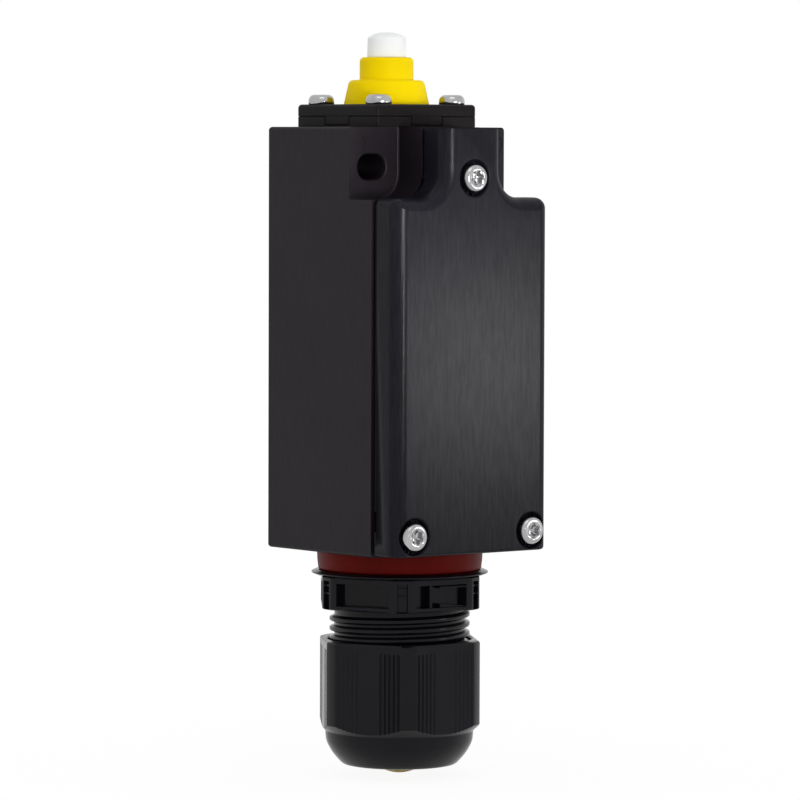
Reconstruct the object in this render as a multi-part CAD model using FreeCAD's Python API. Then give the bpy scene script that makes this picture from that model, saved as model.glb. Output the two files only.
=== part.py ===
import FreeCAD, Part
import math
import os

from FreeCAD import Vector

# Plunger position switch with a cable gland. All lengths are in millimetres.
# The origin lies on the rear mounting face, midway between the two fixing slots.
# +Z is up towards the plunger, -Y is the front with the cover, X runs across.

# Housing
housing_width = 42.5
housing_depth = 36.4
housing_height = 90.6
wall = 3.0
housing_edge_radius = 0.8

# Notches at the two upper front corners, with a fixing slot just beyond the middle of each back wall
neck_width = 15.6
notch_height = 15.3
notch_depth = 7.9
notch_corner_radius = 5.5
slot_beyond_middle = 0.475
slot_length = 7.3
slot_height = 5.3
slot_below_top = 8.5
slot_lip = 0.45

# Cover, its gasket and the groove between cover and housing
cover_depth = 6.8
cover_skin = 2.8
cover_gap = 1.4
cover_inset = 0.35
cover_edge_radius = 2.6
cover_corner_radius = 2.8
gasket_margin = 1.05
gasket_width = 1.8
corner_step = 8.6
pad_gap = 0.3
pad_width = 9.0
lower_pad_height = 5.5
neck_pad_height = 11.0

# Cover screws and their inserts
cover_screw_from_side = 5.35
cover_screw_from_bottom = 4.65
neck_screw_below_top = 10.75
cover_screw_head_radius = 3.1
cover_screw_head_height = 2.35
cover_screw_shank_radius = 1.7
counterbore_clearance = 0.75
counterbore_depth = 1.35
insert_radius = 2.5
insert_length = 7.0

# Head plate, a little deeper than wide: base layer, cap layer with four keyed tabs, and four screws
plunger_from_rear = 14.4
plate_width = 26.9
plate_depth = 28.0
plate_corner_radius = 0.9
plate_top_radius = 0.8
head_base_height = 2.25
head_cap_height = 2.6
tab_width = 8.2
tab_drop = 1.75
tab_thickness = 1.4
head_screw_pitch = 20.0
head_screw_head_radius = 2.8
head_screw_head_height = 2.1
head_screw_shank_radius = 1.5
head_screw_length = 10.0
head_gasket_radius = 7.9
head_gasket_thickness = 1.0

# Yellow guide collar, wiper and plunger
collar_flange_radius = 10.4
collar_flange_thickness = 1.2
cone_base_radius = 9.25
cone_top_radius = 8.05
cone_height = 5.25
cone_edge_radius = 0.9
sleeve_radius = 5.8
sleeve_height = 4.9
wiper_radius = 5.7
wiper_thickness = 1.6
plunger_radius = 4.2
plunger_protrusion = 5.35
plunger_tip_height = 1.9
plunger_tip_flat_radius = 1.6
plunger_tip_bend_inset = 0.7
plunger_tip_bend_drop = 0.6
plunger_flange_radius = 6.3
plunger_flange_thickness = 1.2
stem_radius = 3.0
stem_below_top = 19.0

# Springs
spring_well_depth = 9.5
return_spring_radius = 5.1
return_spring_wire = 0.5
return_spring_turns = 5
slider_spring_radius = 2.6
slider_spring_wire = 0.28
slider_spring_turns = 6
bridge_spring_radius = 1.6
bridge_spring_wire = 0.28
bridge_spring_turns = 5

# Contact block, set off from the housing's side walls
block_side_gap = 1.85
contact_block_height = 38.0
contact_block_front = 29.5
block_boss_height = 4.0
block_boss_radius = 4.0
block_screw_from_side = 4.0
block_screw_radius = 1.7
block_screw_head_radius = 3.0
block_screw_head_height = 2.2
chamber_half_width = 8.6
guide_height = 4.6
chamber_floor = 2.0
slider_half_width = 4.2
slider_half_depth = 4.4
slider_clearance = 0.3
slider_foot = 2.2

# Moving bridges and fixed contacts
bridge_half_length = 8.0
bridge_half_width = 2.2
strip_thickness = 0.8
tip_radius = 1.3
tip_thickness = 0.7
tip_offset = 6.5
nc_bridge_below_slider_top = 11.8
nc_free_travel = 1.5
nc_spring_length = 5.2
no_spring_length = 4.8
window_bar = 1.2
no_contact_gap = 3.0
strip_inner_end = 5.2
strip_from_side = 1.6
strip_half_width = 2.4
terminal_from_side = 4.9
terminal_depth = 5.1
terminal_tab_height = 7.4
terminal_screw_radius = 1.7
terminal_screw_head_radius = 2.9
terminal_screw_head_height = 2.2
terminal_screw_reach = 6.0
clamp_side = 6.2
clamp_thickness = 1.2

# Cable gland, a little in front of the housing's middle
gland_before_middle = 1.3
gland_turn = -6.5
gland_seal_radius = 18.1
gland_seal_height = 4.4
gland_seal_taper = 0.3
flange_radius = 19.1
flange_height = 1.2
flange_edge = 0.25
spigot_radius = 12.4
entry_boss_height = 6.0
entry_boss_wall = 2.6
gland_bore_radius = 9.6
collar_across_flats = 33.7
collar_corner_radius = 18.5
collar_height = 7.6
window_width = 12.4
window_height = 4.3
window_depth = 1.4
thread_crest_radius = 15.45
thread_crest_width = 0.42
thread_root_radius = 14.1
thread_pitch = 2.1
thread_turns = 6
thread_relief = 1.2
nut_across_flats = 33.0
nut_corner_radius = 18.2
nut_start_turn = -2.05
nut_height = 27.2
nut_standoff = 6.2
nut_flat_length = 18.1
nut_chamfer = 0.5
cone_under_corners = 1.8
dome_shoulder_radius = 16.0
dome_middle_radius = 14.9
dome_middle_height = 3.1
dome_end_radius = 12.6
nut_floor = 9.0
nut_opening_radius = 9.2
insert_sleeve_radius = 12.2
insert_bore_radius = 8.3
insert_sleeve_above = 12.0
cage_wall = 2.0
cage_fingers = 12
finger_slit = 1.4
cage_ring_height = 2.2
pressure_ring_height = 2.0
plug_radius = 8.0
plug_wall = 1.2
plug_depth = 12.0
plug_protrusion = 2.0

# Pan heads and their six-lobed sockets, as shares of the head's own radius and height
rim_share = 0.3
crown_share = 0.55
bend_radius_share = 0.86
bend_height_share = 0.78
socket_share = 0.52
socket_core_share = 0.74
socket_lobe_share = 0.28
socket_floor_share = 0.45

# Clearances between pieces
seat_clearance = 0.05
running_clearance = 0.08
thread_clearance = 0.15
flat_gap = 0.1
slide_gap = 0.3
reach = 2.0

# Heights and depths that follow from the sizes above
top = slot_below_top
bottom = top - housing_height
notch_floor = top - notch_height
ceiling = notch_floor - wall
front = -housing_depth
notch_back = front + notch_depth
pad_back = front - pad_gap
cover_back = front - cover_gap
cover_front = cover_back - cover_depth
half_width = housing_width / 2
slot_offset = (half_width + neck_width / 2) / 2 + slot_beyond_middle
plunger_y = -plunger_from_rear
gland_y = -housing_depth / 2 - gland_before_middle
cap_bottom = top + head_base_height
cap_top = cap_bottom + head_cap_height
cone_top = cap_top + cone_height
sleeve_top = cone_top + sleeve_height
plunger_flange_top = cap_bottom - flat_gap
plunger_flange_bottom = plunger_flange_top - plunger_flange_thickness
well_floor = top - spring_well_depth
well_radius = plunger_flange_radius + slide_gap
stem_end = top - stem_below_top
slider_top = stem_end - flat_gap
nc_bridge_top = slider_top - nc_bridge_below_slider_top
nc_bridge_bottom = nc_bridge_top - strip_thickness
nc_window_top = nc_bridge_top + nc_free_travel
nc_window_bottom = nc_bridge_bottom - nc_spring_length
no_window_top = nc_window_bottom - window_bar
no_bridge_top = no_window_top - no_spring_length
no_bridge_bottom = no_bridge_top - strip_thickness
slider_bottom = no_bridge_bottom - slider_foot
nc_strip_bottom = nc_bridge_top + 2 * tip_thickness + seat_clearance
no_strip_top = no_bridge_bottom - 2 * tip_thickness - no_contact_gap - seat_clearance
block_half_width = half_width - wall - block_side_gap
block_screw_offset = block_half_width - block_screw_from_side
strip_outer_end = block_half_width - strip_from_side
terminal_offset = block_half_width - terminal_from_side
block_top = slider_top
block_bottom = block_top - contact_block_height
block_back = -wall - block_boss_height
block_front = -contact_block_front
block_middle = (nc_strip_bottom + no_strip_top) / 2
chamber_bottom = block_bottom + chamber_floor
terminal_face = block_front + terminal_depth
seal_bottom = bottom - gland_seal_height
collar_top = seal_bottom - flange_height
collar_bottom = collar_top - collar_height
thread_end = collar_bottom - thread_relief - thread_turns * thread_pitch
nut_top = collar_bottom - nut_standoff
nut_bottom = nut_top - nut_height
nut_floor_top = nut_bottom + nut_floor
pressure_ring_bottom = nut_floor_top + flat_gap
pressure_ring_top = pressure_ring_bottom + pressure_ring_height
cage_bottom = pressure_ring_top + flat_gap
cage_top = thread_end - flat_gap
cage_radius = insert_sleeve_radius + cage_wall + seat_clearance
nut_bore_radius = thread_crest_radius + thread_clearance
dome_top = nut_top - nut_flat_length
block_screw_end = -wall / 2

# How far inside its corner the middle of a rounding lies, for a radius of one
rounding_depth = 1 - math.sqrt(0.5)


def block(x_low, x_high, y_low, y_high, z_low, z_high):
    """A box between two opposite corners."""
    corner = Vector(x_low, y_low, z_low)
    return Part.makeBox(x_high - x_low, y_high - y_low, z_high - z_low, corner)


def post(x, y, radius, z_low, z_high):
    """An upright cylinder."""
    return Part.makeCylinder(radius, z_high - z_low, Vector(x, y, z_low))


def ring(x, y, inner, outer, z_low, z_high):
    """An upright tube, open at both ends."""
    return post(x, y, outer, z_low, z_high).cut(post(x, y, inner, z_low - reach, z_high + reach))


def rod(x, z, radius, y_front, y_rear):
    """A cylinder along Y, from its front end to its rear end."""
    return Part.makeCylinder(radius, y_rear - y_front, Vector(x, y_front, z), Vector(0, 1, 0))


def closed_outline(start, moves):
    """An outline in the X-Z plane. A move is a point, or a pair of points for an arc through the first."""
    first = Vector(start[0], 0, start[1])
    here = first
    edges = []
    for move in moves:
        if isinstance(move[0], tuple):
            middle = Vector(move[0][0], 0, move[0][1])
            there = Vector(move[1][0], 0, move[1][1])
            edges.append(Part.Arc(here, middle, there).toShape())
        else:
            there = Vector(move[0], 0, move[1])
            edges.append(Part.LineSegment(here, there).toShape())
        here = there
    edges.append(Part.LineSegment(here, first).toShape())
    return Part.Face(Part.Wire(edges))


def turned(x, y, start, *moves):
    """A solid of revolution about an upright axis, from an outline of radii and heights."""
    solid = closed_outline(start, moves).revolve(Vector(0, 0, 0), Vector(0, 0, 1), 360)
    solid.translate(Vector(x, y, 0))
    return solid


def plate(points, y_front, y_rear):
    """A flat piece with its outline in the X-Z plane."""
    solid = closed_outline(points[0], points[1:]).extrude(Vector(0, y_rear - y_front, 0))
    solid.translate(Vector(0, y_front, 0))
    return solid


def rounded(shape, radius, wanted):
    """The shape with the wanted edges rounded."""
    edges = [edge for edge in shape.Edges if wanted(edge.CenterOfMass, edge)]
    return shape.makeFillet(radius, edges)


def mirrored(shape):
    """The shape's copy on the other side of the middle plane."""
    return shape.mirror(Vector(0, 0, 0), Vector(1, 0, 0))


def runs_along(edge, direction):
    """Whether a straight edge runs along the given direction."""
    if len(edge.Vertexes) < 2:
        return False
    span = edge.Vertexes[1].Point - edge.Vertexes[0].Point
    return span.Length > 0 and abs(span.normalize().dot(direction)) > 0.999


def hexagon(across_flats, turn, z_low, z_high):
    """A six-sided prism on the gland's axis, turned by an angle in degrees."""
    corner = across_flats / math.sqrt(3)
    points = []
    for index in range(7):
        angle = math.radians(60 * index + turn)
        points.append(Vector(corner * math.cos(angle), gland_y + corner * math.sin(angle), z_low))
    face = Part.Face(Part.makePolygon(points))
    return face.extrude(Vector(0, 0, z_high - z_low))


def coil_spring(x, y, z_low, z_high, radius, wire, turns):
    """A compression spring between two seats."""
    height = z_high - z_low - 2 * wire
    helix = Part.makeHelix(height / turns, height, radius)
    section = Part.Wire(Part.makeCircle(wire, Vector(radius, 0, 0), Vector(0, 1, 0)))
    spring = Part.Wire(helix.Edges).makePipeShell([section], True, True)
    spring.translate(Vector(x, y, z_low + wire))
    return spring


def pan_screw(head_radius, head_height, shank_radius, length):
    """A pan-head screw with a six-lobed socket, head up, with its seat at height zero."""
    bend = (head_radius * bend_radius_share, head_height * bend_height_share)
    head = turned(0, 0, (0, 0), (head_radius, 0), (head_radius, head_height * rim_share),
                  (bend, (head_radius * crown_share, head_height)), (0, head_height))
    socket_radius = head_radius * socket_share
    socket_floor = head_height * socket_floor_share
    lobe_radius = socket_radius * socket_lobe_share
    lobe_place = socket_radius - lobe_radius
    socket = post(0, 0, socket_radius * socket_core_share, socket_floor, head_height + reach)
    for index in range(6):
        angle = math.radians(60 * index)
        lobe = post(lobe_place * math.cos(angle), lobe_place * math.sin(angle),
                    lobe_radius, socket_floor, head_height + reach)
        socket = socket.fuse(lobe)
    return head.cut(socket).fuse(post(0, 0, shank_radius, -length, 0)).removeSplitter()


def front_screw(x, z, y_seat, head_radius, head_height, shank_radius, length):
    """A pan-head screw that is driven from the front, with its head's seat at the given depth."""
    screw = pan_screw(head_radius, head_height, shank_radius, length)
    screw.rotate(Vector(0, 0, 0), Vector(1, 0, 0), 90)
    screw.translate(Vector(x, y_seat, z))
    return screw


def sealing_line(margin):
    """The outline that the gasket follows, inside the cover screws, at a distance from the edge."""
    side = half_width - margin
    low = bottom + margin
    high = notch_floor - margin
    inner = side - corner_step
    shelf = low + corner_step
    return [(-inner, low), (inner, low), (inner, shelf), (side, shelf),
            (side, high), (-side, high), (-side, shelf), (-inner, shelf)]


def notch(inset):
    """The space cut from the upper left and right corners, its inner lower edge rounded."""
    low = notch_floor - inset
    inner = neck_width / 2 - inset
    radius = notch_corner_radius + inset

    def is_inner_edge(centre, edge):
        return (runs_along(edge, Vector(0, 1, 0)) and abs(centre.x - inner) < 0.01
                and abs(centre.z - low) < 0.01)

    space = block(inner, housing_width, cover_front - reach, notch_back, low, top + reach)
    space = rounded(space, radius, is_inner_edge)
    return space.fuse(mirrored(space))


def fixing_slots(widening, y_front, y_rear):
    """Both slots for the fixing screws, longer side across."""
    tools = []
    for side in (-1, 1):
        x = side * slot_offset
        radius = slot_height / 2 + widening
        straight = (slot_length - slot_height) / 2
        tools.append(block(x - straight, x + straight, y_front, y_rear, -radius, radius))
        tools.append(rod(x - straight, 0, radius, y_front, y_rear))
        tools.append(rod(x + straight, 0, radius, y_front, y_rear))
    return tools


def cover_screw_places():
    """X and Z of the three cover screws."""
    low = bottom + cover_screw_from_bottom
    side = half_width - cover_screw_from_side
    return [(0, top - neck_screw_below_top), (-side, low), (side, low)]


def head_screw_places():
    """X and Y of the four head screws."""
    half = head_screw_pitch / 2
    return [(x, plunger_y + y) for x in (-half, half) for y in (-half, half)]


def block_screw_places():
    """X and Z of the two screws that hold the contact block."""
    return [(-block_screw_offset, block_middle), (block_screw_offset, block_middle)]


def housing():
    def is_outer_edge(centre, edge):
        return centre.y > front + 0.01

    body = block(-half_width, half_width, front, 0, bottom, top)
    body = rounded(body, housing_edge_radius, is_outer_edge)
    body = body.cut(notch(0))
    body = body.cut(plate(sealing_line(wall), front - reach, -wall))

    for x, z in block_screw_places():
        body = body.fuse(rod(x, z, block_boss_radius, block_back, -wall))
    entry_radius = spigot_radius + thread_clearance
    body = body.fuse(post(0, gland_y, entry_radius + entry_boss_wall,
                          bottom + wall, bottom + wall + entry_boss_height))

    cuts = fixing_slots(0, notch_back - reach, reach)
    cuts.append(post(0, plunger_y, well_radius, well_floor, top + reach))
    cuts.append(post(0, plunger_y, stem_radius + running_clearance, ceiling - reach, top))
    cuts.append(post(0, gland_y, entry_radius, bottom - reach, bottom + wall + entry_boss_height + reach))
    for x, y in head_screw_places():
        depth = head_screw_length - head_base_height - head_cap_height
        cuts.append(post(x, y, head_screw_shank_radius + seat_clearance,
                         top - depth - flat_gap, top + reach))
    for x, z in cover_screw_places():
        cuts.append(rod(x, z, insert_radius + seat_clearance, front - reach, front + insert_length))
    for x, z in block_screw_places():
        cuts.append(rod(x, z, block_screw_radius + seat_clearance, block_back - reach, block_screw_end))
    for tool in cuts:
        body = body.cut(tool)

    # The mouth of each fixing slot is chamfered on the notch's back wall.
    mouth = [edge for edge in body.Edges
             if abs(edge.CenterOfMass.y - notch_back) < 0.01 and abs(edge.CenterOfMass.z) < slot_height
             and abs(abs(edge.CenterOfMass.x) - slot_offset) < slot_length / 2 + 0.01]
    return body.makeChamfer(slot_lip, mouth)


def cover():
    side = half_width - cover_inset
    high = top - cover_inset
    low = bottom + cover_inset

    def is_shoulder_corner(centre, edge):
        return (runs_along(edge, Vector(0, 1, 0)) and abs(abs(centre.x) - side) < 0.01
                and centre.z > bottom + wall)

    def is_front_edge(centre, edge):
        return abs(centre.y - cover_front) < 0.01 and low + 0.01 < centre.z < high - 0.01

    lid = block(-side, side, cover_front, pad_back, low, high).cut(notch(cover_inset))
    lid = rounded(lid, cover_corner_radius, is_shoulder_corner)
    lid = rounded(lid, cover_edge_radius, is_front_edge)

    # Only the pads reach back to the housing: one at each lower corner and one on the neck.
    layer = block(-housing_width, housing_width, cover_back, pad_back + reach, bottom - reach, top + reach)
    pads = block(-half_width, half_width, cover_back, pad_back, top - neck_pad_height, top)
    for side in (-1, 1):
        x_inner = side * (half_width - pad_width)
        x_outer = side * half_width
        pads = pads.fuse(block(min(x_inner, x_outer), max(x_inner, x_outer), cover_back, pad_back,
                               bottom, bottom + lower_pad_height))
    lid = lid.cut(layer.cut(pads))
    lid = lid.cut(plate(sealing_line(wall), cover_front + cover_skin, cover_back + reach))
    for x, z in cover_screw_places():
        lid = lid.cut(rod(x, z, cover_screw_head_radius + counterbore_clearance,
                          cover_front - reach, cover_front + counterbore_depth))
        lid = lid.cut(rod(x, z, cover_screw_shank_radius + slide_gap, cover_front, pad_back + reach))
    return lid


def cover_gasket():
    outer = plate(sealing_line(gasket_margin), cover_back, front)
    hole = plate(sealing_line(gasket_margin + gasket_width), cover_back - reach, front + reach)
    return outer.cut(hole)


def cover_screws():
    seat = cover_front + counterbore_depth
    length = front + insert_length - slide_gap - seat
    return Part.makeCompound([
        front_screw(x, z, seat, cover_screw_head_radius, cover_screw_head_height,
                    cover_screw_shank_radius, length)
        for x, z in cover_screw_places()])


def cover_inserts():
    inserts = []
    for x, z in cover_screw_places():
        tube = rod(x, z, insert_radius, front, front + insert_length)
        bore = rod(x, z, cover_screw_shank_radius + seat_clearance, front - reach,
                   front + insert_length + reach)
        inserts.append(tube.cut(bore))
    return Part.makeCompound(inserts)


def head_plate(z_low, z_high):
    """One layer of the head plate, with its upright corners rounded."""
    half = plate_width / 2
    half_depth = plate_depth / 2

    def is_upright(centre, edge):
        return runs_along(edge, Vector(0, 0, 1))

    layer = block(-half, half, plunger_y - half_depth, plunger_y + half_depth, z_low, z_high)
    layer = rounded(layer, plate_corner_radius, is_upright)
    for x, y in head_screw_places():
        layer = layer.cut(post(x, y, head_screw_shank_radius + running_clearance,
                               z_low - reach, z_high + reach))
    return layer


def key_tabs(clearance, overshoot):
    """Four blocks, one in the middle of each side of the head plate, at the top of its base layer."""
    width = tab_width / 2 + clearance
    low = cap_bottom - tab_drop - clearance
    tabs = []
    for turn in range(4):
        half = (plate_width, plate_depth)[turn % 2] / 2
        tab = block(half - tab_thickness - clearance, half + overshoot, -width, width, low, cap_bottom)
        tab.rotate(Vector(0, 0, 0), Vector(0, 0, 1), 90 * turn)
        tab.translate(Vector(0, plunger_y, 0))
        tabs.append(tab)
    return tabs


def head_base():
    base = head_plate(top, cap_bottom)
    base = base.cut(post(0, plunger_y, well_radius, top - reach, cap_bottom + reach))
    groove = ring(0, plunger_y, head_gasket_radius - head_gasket_thickness / 2 - seat_clearance,
                  head_gasket_radius + head_gasket_thickness / 2 + seat_clearance,
                  top - reach, top + head_gasket_thickness + seat_clearance)
    base = base.cut(groove)
    for tab in key_tabs(seat_clearance, reach):
        base = base.cut(tab)
    return base


def head_cap():
    def is_top_edge(centre, edge):
        beside = abs(centre.x) > plate_width / 2 - plate_corner_radius
        before = abs(centre.y - plunger_y) > plate_depth / 2 - plate_corner_radius
        return abs(centre.z - cap_top) < 0.01 and (beside or before)

    cap = head_plate(cap_bottom, cap_top)
    cap = rounded(cap, plate_top_radius, is_top_edge)
    cap = cap.cut(post(0, plunger_y, cone_base_radius + seat_clearance, cap_bottom - reach, cap_top + reach))
    cap = cap.cut(post(0, plunger_y, collar_flange_radius + seat_clearance, cap_bottom - reach,
                       cap_bottom + collar_flange_thickness + seat_clearance))
    for tab in key_tabs(0, 0):
        cap = cap.fuse(tab)
    return cap.removeSplitter()


def head_gasket():
    return ring(0, plunger_y, head_gasket_radius - head_gasket_thickness / 2,
                head_gasket_radius + head_gasket_thickness / 2, top, top + head_gasket_thickness)


def head_screws():
    screws = []
    for x, y in head_screw_places():
        screw = pan_screw(head_screw_head_radius, head_screw_head_height,
                          head_screw_shank_radius, head_screw_length)
        screw.translate(Vector(x, y, cap_top))
        screws.append(screw)
    return Part.makeCompound(screws)


def guide_collar():
    turn = cone_edge_radius
    corner = (cone_top_radius - turn * rounding_depth, cone_top - turn * rounding_depth)
    collar = turned(0, plunger_y, (0, cap_bottom), (collar_flange_radius, cap_bottom),
                    (collar_flange_radius, cap_bottom + collar_flange_thickness),
                    (cone_base_radius, cap_bottom + collar_flange_thickness),
                    (cone_base_radius, cap_top),
                    (cone_top_radius, cone_top - turn),
                    (corner, (cone_top_radius - turn, cone_top)),
                    (sleeve_radius, cone_top), (sleeve_radius, sleeve_top), (0, sleeve_top))
    collar = collar.cut(post(0, plunger_y, plunger_radius + running_clearance,
                             cap_bottom - reach, sleeve_top + reach))
    return collar.cut(post(0, plunger_y, wiper_radius + seat_clearance, cap_bottom - reach,
                           cap_bottom + wiper_thickness + seat_clearance))


def plunger_wiper():
    return ring(0, plunger_y, plunger_radius + running_clearance, wiper_radius,
                cap_bottom, cap_bottom + wiper_thickness)


def plunger():
    tip = sleeve_top + plunger_protrusion
    shoulder = tip - plunger_tip_height
    bend = (plunger_radius - plunger_tip_bend_inset, tip - plunger_tip_bend_drop)
    return turned(0, plunger_y, (0, stem_end), (stem_radius, stem_end),
                  (stem_radius, plunger_flange_bottom), (plunger_flange_radius, plunger_flange_bottom),
                  (plunger_flange_radius, plunger_flange_top), (plunger_radius, plunger_flange_top),
                  (plunger_radius, shoulder), (bend, (plunger_tip_flat_radius, tip)), (0, tip))


def return_spring():
    return coil_spring(0, plunger_y, well_floor, plunger_flange_bottom,
                       return_spring_radius, return_spring_wire, return_spring_turns)


def contact_block():
    half = block_half_width
    guide = slider_half_width + slider_clearance
    depth = slider_half_depth + slider_clearance
    body = block(-half, half, block_front, block_back, block_bottom, block_top)
    chamber = block(-chamber_half_width, chamber_half_width, plunger_y - depth, plunger_y + depth,
                    chamber_bottom + guide_height, block_top - guide_height)
    shaft = block(-guide, guide, plunger_y - depth, plunger_y + depth, chamber_bottom, block_top + reach)
    body = body.cut(chamber).cut(shaft)
    for shape in strip_shapes(seat_clearance):
        body = body.cut(shape)
    for side in (-1, 1):
        x_inner = side * (terminal_offset - clamp_side / 2 - slide_gap)
        x_outer = side * (half + reach)
        for low, high in terminal_pockets():
            body = body.cut(block(min(x_inner, x_outer), max(x_inner, x_outer),
                                  block_front - reach, terminal_face, low, high))
    for x, z in terminal_places():
        body = body.cut(rod(x, z, terminal_screw_radius + seat_clearance, block_front,
                            terminal_face + terminal_screw_reach))
    for x, z in block_screw_places():
        body = body.cut(rod(x, z, block_screw_radius + running_clearance, block_front - reach,
                            block_back + reach))
        body = body.cut(rod(x, z, block_screw_head_radius + slide_gap, block_front - reach,
                            block_front + block_screw_head_height + slide_gap))
    return body


def block_screws():
    seat = block_front + block_screw_head_height + slide_gap
    length = block_screw_end - slide_gap - seat
    return Part.makeCompound([
        front_screw(x, z, seat, block_screw_head_radius, block_screw_head_height,
                    block_screw_radius, length)
        for x, z in block_screw_places()])


def contact_slider():
    body = block(-slider_half_width, slider_half_width, plunger_y - slider_half_depth,
                 plunger_y + slider_half_depth, slider_bottom, slider_top)
    window = bridge_half_width + slide_gap
    body = body.cut(block(-housing_width, housing_width, plunger_y - window, plunger_y + window,
                          nc_window_bottom, nc_window_top))
    return body.cut(block(-housing_width, housing_width, plunger_y - window, plunger_y + window,
                          no_bridge_bottom - seat_clearance, no_window_top))


def slider_spring():
    return coil_spring(0, plunger_y, chamber_bottom, slider_bottom,
                       slider_spring_radius, slider_spring_wire, slider_spring_turns)


def bridge(z_low):
    return block(-bridge_half_length, bridge_half_length, plunger_y - bridge_half_width,
                 plunger_y + bridge_half_width, z_low, z_low + strip_thickness)


def tips(z_low):
    """A pair of silver contact tips."""
    return [post(side * tip_offset, plunger_y, tip_radius, z_low, z_low + tip_thickness)
            for side in (-1, 1)]


def bridge_spring(z_low, z_high):
    return coil_spring(0, plunger_y, z_low, z_high,
                       bridge_spring_radius, bridge_spring_wire, bridge_spring_turns)


def strip_shapes(clearance):
    """The flat part of each fixed contact, from the chamber out to its terminal."""
    shapes = []
    for z_low in (nc_strip_bottom, no_strip_top - strip_thickness):
        strip = block(strip_inner_end - clearance, strip_outer_end + clearance,
                      terminal_face - clearance, plunger_y + strip_half_width + clearance,
                      z_low - clearance, z_low + strip_thickness + clearance)
        shapes.append(strip)
        shapes.append(mirrored(strip))
    return shapes


def fixed_contacts(z_low, tab_low, tab_high):
    """Two bent strips, left and right, each with an upright tab for its terminal screw."""
    middle = (tab_low + tab_high) / 2
    tab_face = terminal_face - strip_thickness
    tab_inner = terminal_offset - clamp_side / 2
    strip = block(strip_inner_end, strip_outer_end, tab_face, plunger_y + strip_half_width,
                  z_low, z_low + strip_thickness)
    strip = strip.cut(block(0, tab_inner, tab_face - reach, terminal_face,
                            z_low - reach, z_low + reach))
    strip = strip.fuse(block(tab_inner, strip_outer_end, tab_face, terminal_face, tab_low, tab_high))
    strip = strip.removeSplitter()
    strip = strip.cut(rod(terminal_offset, middle, terminal_screw_radius + running_clearance,
                          tab_face - reach, terminal_face + reach))
    return Part.makeCompound([strip, mirrored(strip)])


def nc_tab_range():
    return nc_strip_bottom, nc_strip_bottom + strip_thickness + terminal_tab_height


def no_tab_range():
    return no_strip_top - strip_thickness - terminal_tab_height, no_strip_top


def terminal_pockets():
    """Lowest and highest point of the upper and the lower terminal pockets."""
    return [(low - seat_clearance, high + seat_clearance) for low, high in (nc_tab_range(), no_tab_range())]


def terminal_places():
    """X and Z of the four terminal screws."""
    return [(side * terminal_offset, (low + high) / 2)
            for side in (-1, 1) for low, high in (nc_tab_range(), no_tab_range())]


def terminal_clamps():
    clamps = []
    rear = terminal_face - strip_thickness - slide_gap
    half = clamp_side / 2
    for x, z in terminal_places():
        clamp = block(x - half, x + half, rear - clamp_thickness, rear, z - half, z + half)
        clamp = clamp.cut(rod(x, z, terminal_screw_radius + running_clearance,
                              rear - clamp_thickness - reach, rear + reach))
        clamps.append(clamp)
    return Part.makeCompound(clamps)


def terminal_screws():
    seat = terminal_face - strip_thickness - slide_gap - clamp_thickness
    length = terminal_face + terminal_screw_reach - slide_gap - seat
    return Part.makeCompound([
        front_screw(x, z, seat, terminal_screw_head_radius, terminal_screw_head_height,
                    terminal_screw_radius, length)
        for x, z in terminal_places()])


def gland_seal():
    inner = spigot_radius + seat_clearance
    return turned(0, gland_y, (inner, seal_bottom), (gland_seal_radius - gland_seal_taper, seal_bottom),
                  (gland_seal_radius, bottom), (inner, bottom))


def gland_body():
    flange_middle = seal_bottom - flange_height / 2
    body = turned(0, gland_y, (0, collar_top), (flange_radius - flange_height, collar_top),
                  (flange_radius, flange_middle - flange_edge / 2),
                  (flange_radius, flange_middle + flange_edge / 2),
                  (flange_radius - flange_height, seal_bottom), (spigot_radius, seal_bottom),
                  (spigot_radius, bottom + wall + entry_boss_height), (0, bottom + wall + entry_boss_height))
    collar = hexagon(collar_across_flats, gland_turn, collar_bottom, collar_top)
    collar = collar.common(post(0, gland_y, collar_corner_radius, collar_bottom, collar_top))
    for index in range(6):
        flat = collar_across_flats / 2
        low = (collar_bottom + collar_top - window_height) / 2
        window = block(flat - window_depth, flat + reach, -window_width / 2, window_width / 2,
                       low, low + window_height)
        window.rotate(Vector(0, 0, 0), Vector(0, 0, 1), 30 + 60 * index + gland_turn)
        window.translate(Vector(0, gland_y, 0))
        collar = collar.cut(window)

    # The thread is a stack of ridges, one for each turn.
    points = [(0, collar_bottom), (thread_root_radius, collar_bottom)]
    for index in range(thread_turns):
        start = collar_bottom - thread_relief - index * thread_pitch
        points.append((thread_root_radius, start))
        points.append((thread_crest_radius, start - (thread_pitch - thread_crest_width) / 2))
        points.append((thread_crest_radius, start - (thread_pitch + thread_crest_width) / 2))
    points.append((thread_root_radius, thread_end))
    points.append((0, thread_end))
    thread = turned(0, gland_y, points[0], *points[1:])

    sleeve_pocket_top = thread_end + insert_sleeve_above + flat_gap
    body = body.fuse(collar).fuse(thread).removeSplitter()
    body = body.cut(post(0, gland_y, gland_bore_radius, thread_end - reach,
                         bottom + wall + entry_boss_height + reach))
    return body.cut(post(0, gland_y, insert_sleeve_radius + seat_clearance,
                         thread_end - reach, sleeve_pocket_top))


def sealing_insert():
    return ring(0, gland_y, insert_bore_radius, insert_sleeve_radius,
                cage_bottom, thread_end + insert_sleeve_above)


def clamping_cage():
    inner = insert_sleeve_radius + seat_clearance
    cage = ring(0, gland_y, inner, cage_radius, cage_bottom, cage_top)
    for index in range(cage_fingers):
        slit = block(inner - reach, cage_radius + reach, -finger_slit / 2, finger_slit / 2,
                     cage_bottom - reach, cage_top - cage_ring_height)
        slit.rotate(Vector(0, 0, 0), Vector(0, 0, 1), 360 / cage_fingers * index)
        slit.translate(Vector(0, gland_y, 0))
        cage = cage.cut(slit)
    return cage


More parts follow.
